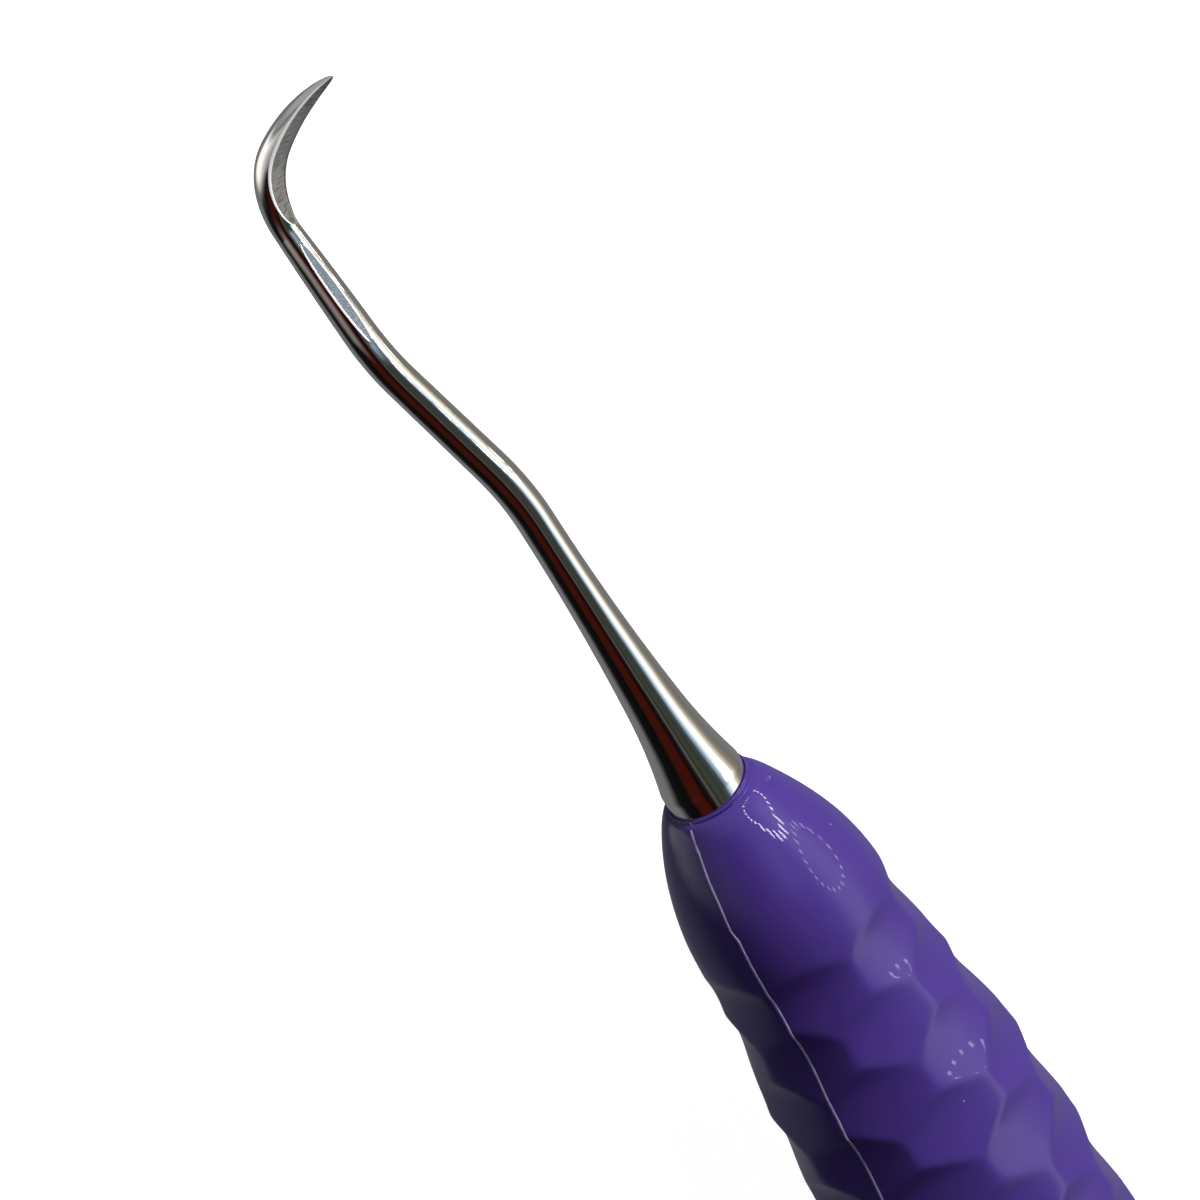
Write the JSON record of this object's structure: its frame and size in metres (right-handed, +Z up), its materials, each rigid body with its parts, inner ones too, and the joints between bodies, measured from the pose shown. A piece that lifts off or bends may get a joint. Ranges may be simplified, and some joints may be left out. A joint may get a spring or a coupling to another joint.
{
  "type": "sickle scaler",
  "caption": "Hand scaler for teeth: a polished steel sickle blade on a bent, tapering shank, set in a plump handle with a domed head and a scooped honeycomb grip.",
  "frame": {"origin": "on the table plane under the middle of the overall length, below the handle axis; the part lies on its side as it rests on a table", "axes": "+X is along the handle axis towards the blade tip, +Z is up, +Y is across to the side away from the blade tip"},
  "size_m": [0.1378, 0.0112, 0.011],
  "materials": {
    "steel": "polished stainless steel, with the blade's face ground matt across",
    "grip": "glossy moulded purple resin"
  },
  "bodies": {
    "root": {"working_end": "steel", "handle": "grip"}
  },
  "joints": []
}
